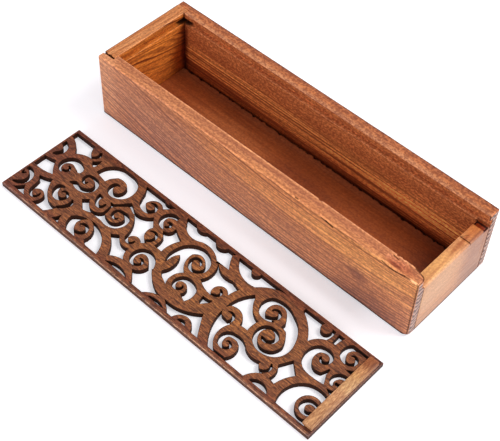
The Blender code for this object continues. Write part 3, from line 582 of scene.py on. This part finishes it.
def wood(name, along, seed, tones, pith, ring=1.8, drift=(0.0, 0.0), bow=0.0, sway=1.2, line=0.5,
         fibre=0.5, blotch=0.5, pores=0.0, flecks=0.0, mottle=0.0, grain=(0.75, 1.15),
         threads=None, roughness=0.45, gloss=0.35, end_tones=None, wear_and_painted_light=WEAR_AND_LIGHT_TINT, has_soot_and_shade=True,
         spots=(), cuts=()):
    """A solid wood. tones are the early wood, the late wood and the dark streak.

    pith is the place, across and up, of the line that the rings go round, and ring is how wide
    they are. drift is how far the pith moves for each millimetre along the grain, bow is how fast
    that changes, and sway is how much the rings wander. line, fibre, blotch, pores, flecks and
    mottle are the strengths of those marks. grain is the pitch of the mottle along and across.
    threads is a strength and the two heights between which long thin lines fade in. end_tones are
    the two colours of a sawn end, and worn is the tint of rubbed arrises, which also stands as a
    painted highlight, and of the lid's groove, painted paler as painted light. sooted says that
    the piece has scorched places and places painted dark as painted shade, which are matt.
    """
    material, nodes, shader = new_material(name)
    place, shifted = grain_place(nodes, along, seed)
    light, mid, dark = tones

    late = late_wood(nodes, place, shifted, seed, pith, ring, drift, bow, sway)
    strand = nodes.texture(shifted, *STRAND)
    streak = nodes.texture(shifted, *STREAK)
    cloud = nodes.texture(shifted, *CLOUD)
    speck = nodes.texture(shifted, *SPECK)

    colour = nodes.layer(light, streak, STREAK_FADE, blotch, mid)
    colour = nodes.mix(nodes.math("MULTIPLY", late, line), colour, dark)
    colour = nodes.layer(colour, strand, STRAND_FADE, fibre, dark)
    colour = nodes.layer(colour, cloud, CLOUD_FADE, blotch * CLOUD_SHARE, mid)
    colour = nodes.layer(colour, speck, SPECK_FADE, fibre * SPECK_SHARE, dark)
    if mottle:
        pitch_along, pitch_across = grain
        grit = nodes.texture(shifted, (pitch_along, pitch_across, pitch_across),
                             GRIT_DETAIL, GRIT_ROUGHNESS)
        colour = nodes.layer(colour, grit, GRIT_DARK, mottle, dark)
        colour = nodes.layer(colour, grit, GRIT_PALE, mottle, nodes.tint(colour, GRIT_GLINT))
    if threads:
        strength, faint_height, full_height = threads
        _, _, z = nodes.split(place)
        strength = nodes.math("MULTIPLY", nodes.fit(z, faint_height, full_height), strength)
        thread = nodes.texture(shifted, *THREAD)
        colour = nodes.layer(colour, thread, THREAD_DARK, strength, dark)
        colour = nodes.layer(colour, thread, THREAD_PALE, strength,
                             nodes.tint(colour, THREAD_GLINT))
    height = nodes.math("MULTIPLY", strand, STRAND_RELIEF)
    if pores:
        pit = nodes.fit(nodes.texture(shifted, *PIT), *PIT_FADE)
        colour = nodes.mix(nodes.math("MULTIPLY", pit, pores), colour, dark)
        height = nodes.math("SUBTRACT", height, nodes.math("MULTIPLY", pit, PIT_RELIEF))
    if flecks:
        fleck = nodes.texture(shifted, *FLECK)
        colour = nodes.layer(colour, fleck, FLECK_FADE, flecks, nodes.tint(colour, FLECK_GLINT))
    colour = lay_spots(nodes, colour, place, streak, spots)
    if end_tones:
        ends = sawn_end(nodes, place, shifted, speck, end_tones)
        colour = nodes.mix(nodes.attribute("end_grain"), colour, ends)
    # Rubbed arrises and painted highlights, and the groove's painted light
    colour = nodes.mix(nodes.attribute("wear_and_painted_light"), colour, nodes.tint(colour, wear_and_painted_light))
    # Scorch, and painted shade in gaps, cracks, on dark arrises and in some cuts
    soot_and_shade = nodes.attribute("soot_and_shade")
    dull = soot_and_shade
    for first, last, half, darkness in cuts:
        share = cut_share(nodes, place, speck, first, last, half)
        height = nodes.math("SUBTRACT", height, share)
        share = nodes.math("MULTIPLY", share, darkness)
        dull = nodes.math("MAXIMUM", dull, share)
        colour = nodes.mix(share, colour, SOOT_AND_SHADE)
    colour = nodes.mix(soot_and_shade, colour, SOOT_AND_SHADE)
    nodes.feed(shader.inputs["Base Color"], colour)

    limits = [roughness + change for change in ROUGHNESS_CHANGE]
    nodes.feed(shader.inputs["Roughness"],
               nodes.fit(strand, *ROUGHNESS_FADE, *limits, smooth=False))
    specular = shader.inputs["Specular IOR Level"]
    specular.default_value = gloss
    if has_soot_and_shade:
        nodes.feed(specular, nodes.fit(dull, 0.0, SOOT_AND_SHADE_FULL, gloss, SOOT_AND_SHADE_GLOSS, smooth=False))
    bump = nodes.add("ShaderNodeBump")
    bump.inputs["Strength"].default_value = RELIEF
    bump.inputs["Distance"].default_value = RELIEF_HEIGHT
    nodes.feed(bump.inputs["Height"], nodes.math("MULTIPLY_ADD", late, LATE_RELIEF, height))
    nodes.feed(shader.inputs["Normal"], bump.outputs[0])
    return material


def clean_copy(node):
    """The node's shape with its doubled corners joined and its flat faces whole."""
    bm = bmesh.new()
    bm.from_mesh(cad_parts[node].data)
    bmesh.ops.remove_doubles(bm, verts=bm.verts, dist=MERGE)
    bmesh.ops.dissolve_limit(bm, angle_limit=FLAT_ANGLE, verts=bm.verts, edges=bm.edges)
    bmesh.ops.recalc_face_normals(bm, faces=bm.faces)
    return bm


def soften(bm, width=EDGE_SOFTNESS, chosen=lambda edge: True):
    """Breaks the chosen ones of the sharp outer edges."""
    sharp = []
    for edge in bm.edges:
        if len(edge.link_faces) == 2 and edge.calc_face_angle_signed() > SOFT_EDGE_ANGLE:
            if chosen(edge):
                sharp.append(edge)
    bmesh.ops.bevel(bm, geom=sharp, offset=width, offset_type="OFFSET", segments=EDGE_SEGMENTS,
                    profile=EDGE_PROFILE, affect="EDGES", clamp_overlap=True)


def slice_at(bm, axis, place):
    """Adds a ring of edges where a plane across the axis meets the mesh."""
    normal = Vector((0, 0, 0))
    normal[axis] = 1
    bmesh.ops.bisect_plane(bm, geom=list(bm.verts) + list(bm.edges) + list(bm.faces),
                           dist=MERGE / 10, plane_co=normal * place, plane_no=normal)


def slice_along(bm, axis, low, high, spacing):
    """Adds evenly spaced rings of edges along an axis, so that a long face can bend."""
    steps = max(1, round((high - low) / spacing))
    for step in range(1, steps):
        slice_at(bm, axis, low + (high - low) * step / steps)


def is_axial(normal):
    """Whether a face looks straight along one of the axes."""
    return max(abs(value) for value in normal) > FLAT_LIMIT


def finish_piece(name, node, bm, material, body, shares):
    """Turns the mesh into the piece that stands for its node, kept inside the node's box.

    shares gives, for each attribute of the material, a function of a face that returns its value.
    """
    low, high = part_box(node)
    for vert in bm.verts:
        for axis in (X, Y, Z):
            vert.co[axis] = min(max(vert.co[axis], low[axis]), high[axis])
    bm.normal_update()
    layers = {key: bm.loops.layers.float.new(key) for key in shares}
    for face in bm.faces:
        for key, rule in shares.items():
            value = rule(face)
            for loop in face.loops:
                loop[layers[key]] = value
    mesh = bpy.data.meshes.new(name)
    bm.to_mesh(mesh)
    bm.free()
    for polygon in mesh.polygons:
        polygon.use_smooth = True
    mesh.set_sharp_from_angle(angle=SOFT_EDGE_ANGLE)
    mesh.materials.append(material)
    piece = bpy.data.objects.new(name, mesh)
    bpy.context.collection.objects.link(piece)
    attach(piece, body)
    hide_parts(node)


def wave(bm, seed):
    """Moves every corner a little, as hand sanding leaves it."""
    for vert in bm.verts:
        place = vert.co * WAVE_PITCH + Vector((seed, seed, seed))
        vert.co += WAVE_HEIGHT * noise.noise_vector(place)


def board(node, material, axis, seed, groove_share=0.0, calm_top=0.0, calm_end=0.0, detail=None,
          marks=()):
    """A dressed board of the box, whose grain runs along the axis.

    groove_share says how much paler the lid's groove is painted, as painted light. calm_top and
    calm_end say how much fainter the ring lines are on the top and on the face at the near end.
    """
    low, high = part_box(node)
    bm = clean_copy(node)
    soften(bm)
    slice_along(bm, axis, low[axis], high[axis], STATION_SPACING)
    if detail:
        detail(bm, low, high)
    wave(bm, seed)

    def dark_arris(face):
        """Whether a face belongs to an arris painted dark against the background: as painted shade
        where it faces down, and along the outline elsewhere.
        """
        middle, normal = face.calc_center_median(), face.normal
        back = middle.y > BOX_HALF_WIDTH - OUTER_FACE_REACH and normal.y > LEANING
        left = middle.x < OUTER_FACE_REACH - BOX_END and normal.x < -LEANING
        right = middle.x > BOX_END - OUTER_FACE_REACH and abs(normal.y) > LEANING
        return not is_axial(normal) and (normal.z < -LEANING or back or left or right)

    # Arrises are paled as wear and painted highlight, and the groove as painted light
    def wear_and_painted_light(face):
        if not is_axial(face.normal):
            return 0.0 if dark_arris(face) else 1.0
        middle = face.calc_center_median()
        inside = abs(middle.y) < WELL_HALF + GROOVE_REACH and middle.x > FAR_WALL - GROOVE_REACH
        return groove_share if GROOVE_LOW < middle.z < GROOVE_HIGH and inside else 0.0

    def end_grain(face):
        middle = face.calc_center_median()
        if abs(face.normal[axis]) < FLAT_LIMIT:
            return 0.0
        return 1.0 if min(middle[axis] - low[axis], high[axis] - middle[axis]) < END_REACH else 0.0

    def soot_and_shade(face):
        middle = face.calc_center_median()
        # Faces in a block of shade marks are painted dark, as painted shade
        for first, last, share in marks:
            if all(first[side] < middle[side] * MM < last[side] for side in (X, Y, Z)):
                return share
        # The dark arrises, painted dark as painted shade where they face down
        return DARK_ARRIS_SHARE if dark_arris(face) else 0.0

    def calm(face):
        if face.normal.z > FACING:
            return calm_top
        return calm_end if face.normal.x > FACING else 0.0

    shares = {"wear_and_painted_light": wear_and_painted_light, "end_grain": end_grain, "soot_and_shade": soot_and_shade, "calm": calm}
    finish_piece(node + "_wood", node, bm, material, "box", shares)


def lid_panel(node, material):
    """The fretwork panel: planed faces, scorched cut walls and plain outer edges."""
    low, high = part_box(node)
    bm = clean_copy(node)

    def within_rim(point, reach):
        """Whether a point lies that close to one of the panel's outer edges."""
        return min(point.x - low.x, high.x - point.x, point.y - low.y, high.y - point.y) < reach

    def upper_rim(edge):
        return all(within_rim(vert.co, RIM_REACH) and vert.co.z > low.z + RIM_REACH
                   for vert in edge.verts)

    soften(bm, LID_EDGE_SOFTNESS, upper_rim)
    bm.normal_update()
    scorched = bm.faces.layers.int.new("scorched")
    flat = [face for face in bm.faces if face.normal.z > FLAT_LIMIT]
    flat = bmesh.ops.triangulate(bm, faces=flat)["faces"]
    band = bmesh.ops.inset_region(bm, faces=flat, thickness=SCORCH_WIDTH, use_boundary=True,
                                  use_even_offset=False)["faces"]
    for face in band:
        face[scorched] = 1

    def by_rim(face):
        return within_rim(face.calc_center_median(), LID_EDGE_SOFTNESS + SCORCH_WIDTH)

    # The softened rim arrises are paled, as wear and painted highlight
    def wear_and_painted_light(face):
        return 1.0 if not is_axial(face.normal) and by_rim(face) else 0.0

    def soot_and_shade(face):
        if wear_and_painted_light(face) or (face[scorched] and by_rim(face)):
            return 0.0
        if face[scorched]:
            return SCORCH_SOOT
        if abs(face.normal.z) > FACING:
            return 0.0
        return RIM_SOOT if within_rim(face.calc_center_median(), RIM_REACH) else WALL_SOOT

    finish_piece(node + "_wood", node, bm, material, "lid", {"soot_and_shade": soot_and_shade, "wear_and_painted_light": wear_and_painted_light})


def pull_batten(material, seed):
    """The strip across the lid's near end, with its arrises paled all round, as wear and painted
    highlight.
    """
    low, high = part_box("lid_pull_batten")
    bm = clean_copy("lid_pull_batten")
    soften(bm)
    slice_along(bm, Y, low.y, high.y, STATION_SPACING)
    wave(bm, seed)

    def wear_and_painted_light(face):
        return 0.0 if is_axial(face.normal) else BATTEN_WEAR_AND_HIGHLIGHT

    finish_piece("lid_pull_batten_wood", "lid_pull_batten", bm, material, "lid", {"wear_and_painted_light": wear_and_painted_light})


def near_step(bm, low, high):
    """The low step across the near board's top, and the crack at its foot."""
    crack = (STEP_PLACE - CRACK_HALF, STEP_PLACE + CRACK_HALF)
    slice_at(bm, Z, high.z - DIP_REACH)
    for y in (crack[0] - CRACK_SLOPE, crack[0], crack[1], crack[1] + CRACK_SLOPE):
        slice_at(bm, Y, y)
    for vert in bm.verts:
        if vert.co.z > high.z - STEP_REACH and vert.co.y > crack[0] - CRACK_SLOPE / 2:
            vert.co.z -= CRACK_DEPTH if vert.co.y < crack[1] + CRACK_SLOPE / 2 else STEP_DROP


def ragged_floor(bm, low, high):
    """The floor's long back edge, sawn roughly, so that a dark gap shows beside it."""
    slice_at(bm, Z, RAGGED_FOOT)
    slice_along(bm, X, low.x, high.x, RAGGED_SPACING)
    for vert in bm.verts:
        if high.y - vert.co.y < RAGGED_REACH and vert.co.z > RAGGED_FOOT + MERGE:
            along = vert.co.x * RAGGED_PITCH
            coarse = noise.noise(Vector((along, 0.0, 0.0)))
            fine = noise.noise(Vector((along * RAGGED_FINER, RAGGED_FINE_SEED, 0.0)))
            rough = RAGGED_MIDDLE + RAGGED_COARSE * coarse + RAGGED_FINE * fine
            vert.co.y -= RAGGED_DEPTH * min(max(rough, 0.0), 1.0)


def open_seam(bm, low, high):
    """The gap at the far board's front end, which opens towards the top."""
    for z in SEAM_HEIGHTS:
        slice_at(bm, Z, z)
    slice_along(bm, X, low.x, high.x, SEAM_SPACING)
    for vert in bm.verts:
        if vert.co.y - low.y < SEAM_REACH and vert.co.z > SEAM_HEIGHTS[0] + MERGE:
            rise = (vert.co.z - SEAM_HEIGHTS[0]) / (high.z - SEAM_HEIGHTS[0])
            rough = SEAM_MIDDLE + SEAM_COARSE * noise.noise(vert.co * SEAM_PITCH)
            vert.co.y += SEAM_WIDTH * min(rise * SEAM_OPENING, 1.0) * rough


def torn_knot(bm, high):
    """Torn grain round a small knot on the front board's top, close to the near end."""
    slice_at(bm, Z, high.z - DIP_REACH)
    for step in range(KNOT_SLICES + 1):
        slice_at(bm, X, KNOT_FROM + (KNOT_TO - KNOT_FROM) * step / KNOT_SLICES)
    for y in KNOT_ROWS:
        slice_at(bm, Y, y)
    for vert in bm.verts:
        x, y, z = vert.co
        along = (x - KNOT_FROM) / (KNOT_TO - KNOT_FROM)
        if z > high.z - KNOT_REACH and 0.0 < along < 1.0 and y > KNOT_ROWS[0] - MERGE:
            fade = math.sin(math.pi * along) * min((y - KNOT_ROWS[0]) / KNOT_FADE, 1.0)
            fade *= min(max((KNOT_CALM - y) / KNOT_FADE, KNOT_ARRIS), 1.0)
            place = Vector((x * KNOT_PITCH_ALONG, y * KNOT_PITCH_ACROSS, KNOT_SEED))
            rough = KNOT_MIDDLE + KNOT_COARSE * noise.noise(place)
            vert.co.z -= KNOT_DEPTH * fade * max(rough, 0.0)


def chipped_arris(bm, high):
    """Small chips out of the front board's inner arris."""
    for start, end, depth in CHIPS:
        for x in (start, start + CHIP_SLOPE, end - CHIP_SLOPE, end):
            slice_at(bm, X, x)
        for vert in bm.verts:
            on_arris = vert.co.y > CHIP_FROM and vert.co.z > high.z - KNOT_REACH
            if on_arris and start + MERGE < vert.co.x < end - MERGE:
                vert.co.y -= depth


def worn_foot(bm):
    """The front board's bottom corner at the near end, rubbed round."""
    for step in range(1, FOOT_SLICES + 1):
        slice_at(bm, X, BOX_END - FOOT_REACH * step / FOOT_SLICES)
        slice_at(bm, Y, FOOT_REACH * step / FOOT_SLICES - BOX_HALF_WIDTH)
    for vert in bm.verts:
        away = math.hypot(BOX_END - vert.co.x, BOX_HALF_WIDTH + vert.co.y) / FOOT_REACH
        if vert.co.z < FOOT_LOW and away < 1.0:
            vert.co.z += FOOT_RISE * (1.0 - away) ** FOOT_CURVE


def front_wear(bm, low, high):
    """All the wear of the front board."""
    torn_knot(bm, high)
    chipped_arris(bm, high)
    worn_foot(bm)


def place_camera():
    """The photograph's camera."""
    data = bpy.data.cameras.new("photo_camera")
    data.sensor_width = SENSOR_WIDTH
    data.lens = CAMERA_LENS
    data.shift_x, data.shift_y = CAMERA_SHIFT
    data.clip_start = CLIP_START
    camera = bpy.data.objects.new("photo_camera", data)
    bpy.context.collection.objects.link(camera)
    turn = (Matrix.Rotation(math.radians(CAMERA_HEADING), 3, "Z")
            @ Matrix.Rotation(math.radians(CAMERA_TILT), 3, "X")
            @ Matrix.Rotation(math.radians(CAMERA_ROLL), 3, "Z"))
    camera.matrix_world = Matrix.Translation(CAMERA_PLACE) @ turn.to_4x4()
    bpy.context.scene.camera = camera


def place_light(name, place, size, power, colour):
    """A soft square lamp that shines at the middle of the box."""
    data = bpy.data.lights.new(name, "AREA")
    data.shape = "SQUARE"
    data.size = size
    data.energy = power
    data.color = colour
    light = bpy.data.objects.new(name, data)
    light.location = place
    light.rotation_euler = Vector(place).to_track_quat("Z", "Y").to_euler()
    bpy.context.collection.objects.link(light)


def place_world():
    """Even light from all round, which the camera sees as plain white."""
    world = bpy.data.worlds.new("studio")
    world.use_nodes = True
    bpy.context.scene.world = world
    nodes = Nodes(world.node_tree)
    background = world.node_tree.nodes["Background"]
    rays = nodes.add("ShaderNodeLightPath").outputs
    seen = nodes.math("MAXIMUM", rays["Is Camera Ray"], rays["Is Transmission Ray"])
    nodes.feed(background.inputs["Strength"],
               nodes.fit(seen, 0.0, 1.0, WORLD_STRENGTH, BACKDROP_STRENGTH, smooth=False))
    background.inputs["Color"].default_value = (1, 1, 1, 1)


def past_rectangle(nodes, places, centre, half):
    """How far outside a rectangle of the table each point lies. It is below 0 inside."""
    past = []
    for place, middle, reach in zip(places, centre, half):
        off = nodes.math("ABSOLUTE", nodes.math("SUBTRACT", place, middle))
        past.append(nodes.math("SUBTRACT", off, reach))
    return nodes.math("MAXIMUM", *past)


def shade_between(nodes, x, y):
    """How deep each point of the table lies in the shade between the box and the lid."""
    shade = nodes.math("MULTIPLY", nodes.fit(x, *BETWEEN_RISE),
                       nodes.fit(x, *BETWEEN_FALL, 1.0, 0.0))
    shade = nodes.math("MULTIPLY", shade, nodes.fit(y, *BETWEEN_EDGE))
    off_line = nodes.math("ABSOLUTE", nodes.math("SUBTRACT", y, BRIGHT_LINE))
    return nodes.math("MULTIPLY", shade, nodes.fit(off_line, *BRIGHT_REACH, BRIGHT_SHARE, 1.0))


def place_table():
    """The white table, which glows less under the lid and between it and the box, and is dark
    without glow under the box, all as painted shade.
    """
    mesh = bpy.data.meshes.new("table")
    corners = [(-TABLE_HALF, -TABLE_HALF, 0), (TABLE_HALF, -TABLE_HALF, 0),
               (TABLE_HALF, TABLE_HALF, 0), (-TABLE_HALF, TABLE_HALF, 0)]
    mesh.from_pydata(corners, [], [(0, 1, 2, 3)])
    table = bpy.data.objects.new("table", mesh)
    bpy.context.collection.objects.link(table)
    material, nodes, shader = new_material("table_white")
    shader.inputs["Roughness"].default_value = TABLE_ROUGHNESS
    shader.inputs["Emission Color"].default_value = GLOW_COLOUR
    rays = nodes.add("ShaderNodeLightPath").outputs
    seen = nodes.math("MAXIMUM", rays["Is Camera Ray"], rays["Is Glossy Ray"])
    x, y, _ = nodes.split(nodes.add("ShaderNodeTexCoord").outputs["Object"])
    past_box = past_rectangle(nodes, (x, y), (0.0, 0.0), (BOX_END, BOX_HALF_WIDTH))
    open_air = nodes.fit(past_box, -COVERED_FROM - COVERED_EDGE, -COVERED_FROM)
    low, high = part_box("lid_fretwork_panel")
    past_lid = past_rectangle(nodes, (x, y), [(low[axis] + high[axis]) / 2 for axis in (X, Y)],
                              [(high[axis] - low[axis]) / 2 for axis in (X, Y)])
    # No glow under the box, where the table is painted dark as painted shade
    glow = nodes.math("MULTIPLY", nodes.math("MULTIPLY", seen, TABLE_GLOW), open_air)
    # Less glow under the lid, as painted shade in its openings
    glow = nodes.math("MULTIPLY", glow,
                      nodes.fit(past_lid, -LID_SHADE_EDGE, 0.0, LID_GLOW_SHARE, 1.0))
    glow = nodes.math("MULTIPLY", glow, nodes.fit(shade_between(nodes, x, y), 0.0, 1.0,
                                                  1.0, 1.0 - BETWEEN_SHADE, smooth=False))
    nodes.feed(shader.inputs["Emission Strength"], glow)
    # Under the box the table's colour is painted dark, as painted shade
    nodes.feed(shader.inputs["Base Color"], nodes.mix(open_air, SOOT_AND_SHADE, TABLE_COLOUR))
    mesh.materials.append(material)


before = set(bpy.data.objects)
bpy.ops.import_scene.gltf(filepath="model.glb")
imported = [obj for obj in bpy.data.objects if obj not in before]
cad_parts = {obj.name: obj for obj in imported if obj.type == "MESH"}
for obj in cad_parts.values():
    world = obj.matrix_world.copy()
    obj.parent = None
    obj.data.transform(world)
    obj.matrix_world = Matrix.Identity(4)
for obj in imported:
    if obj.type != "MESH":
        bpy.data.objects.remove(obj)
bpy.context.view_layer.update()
bpy.context.scene.view_settings.view_transform = "Standard"

front = wood("front_board", "x", 1.0, SIDE_TONES, (55.0, -75.0), ring=1.75, drift=(0.0, 0.085),
             bow=-0.0011, line=0.95, fibre=0.45, mottle=0.38, grain=(0.66, 1.0),
             threads=(0.16, 50.0, 44.0), end_tones=END_TONES, spots=FRONT_SPOTS, cuts=FRONT_CUTS)
back = wood("back_board", "x", 2.3, INNER_TONES, (10.0, -70.0), ring=1.5, drift=(0.0, -0.01),
            line=0.6, fibre=0.6, mottle=0.66, grain=(0.66, 0.95), threads=(0.95, 28.0, 18.0),
            end_tones=END_TONES, spots=BACK_SPOTS, cuts=BACK_CUTS)
far = wood("far_board", "y", 3.1, FAR_TONES, (-6.0, -60.0), ring=2.2, drift=(0.0, 0.175),
           sway=2.6, line=0.95, fibre=0.6, blotch=0.6, mottle=0.3, spots=FAR_SPOTS, cuts=FAR_CUTS)
near = wood("near_board", "y", 4.7, NEAR_TONES, (20.0, -80.0), ring=2.2, drift=(0.0, 0.04),
            line=0.36, fibre=0.3, mottle=0.30, roughness=0.40, gloss=0.5, end_tones=END_TONES,
            spots=NEAR_SPOTS, cuts=NEAR_CUTS)
floor = wood("floor_board", "x", 5.9, FLOOR_TONES, (-8.0, -25.0), ring=2.0, line=0.3, fibre=0.3,
             mottle=0.3, spots=FLOOR_SPOTS)
walnut = wood("lid_walnut", "x", 6.4, WALNUT_TONES, (30.0, -40.0), ring=2.4, line=0.5, fibre=0.7,
              pores=0.7, flecks=0.85, mottle=0.12, roughness=0.50, wear_and_painted_light=WALNUT_WEAR_AND_LIGHT_TINT,
              spots=WALNUT_SPOTS)
honey = wood("batten_wood", "y", 9.5, BATTEN_TONES, (8.0, -20.0), ring=1.7, drift=(0.34, 0.10),
             line=0.4, pores=0.75, mottle=0.45, grain=(0.5, 1.3), has_soot_and_shade=False,
             spots=BATTEN_SPOTS)

# Blender's vector noise differs from run to run until it has a seed
noise.seed_set(WAVE_SEED)
board("front_side_board", front, X, seed=1.0, calm_top=1.0, detail=front_wear)
board("back_side_board", back, X, seed=2.0, groove_share=1.0, calm_top=0.8)
board("far_end_board", far, Y, seed=3.0, calm_top=0.7, detail=open_seam, marks=SEAM_SHADE_MARKS)
board("near_end_board", near, Y, seed=4.0, calm_end=0.7, detail=near_step, marks=NEAR_SHADE_MARKS)
board("bottom_panel", floor, X, seed=5.0, detail=ragged_floor, marks=FLOOR_SHADE_MARKS)
lid_panel("lid_fretwork_panel", walnut)
pull_batten(honey, seed=6.0)

place_table()
place_world()
for light in LIGHTS:
    place_light(*light)
place_camera()
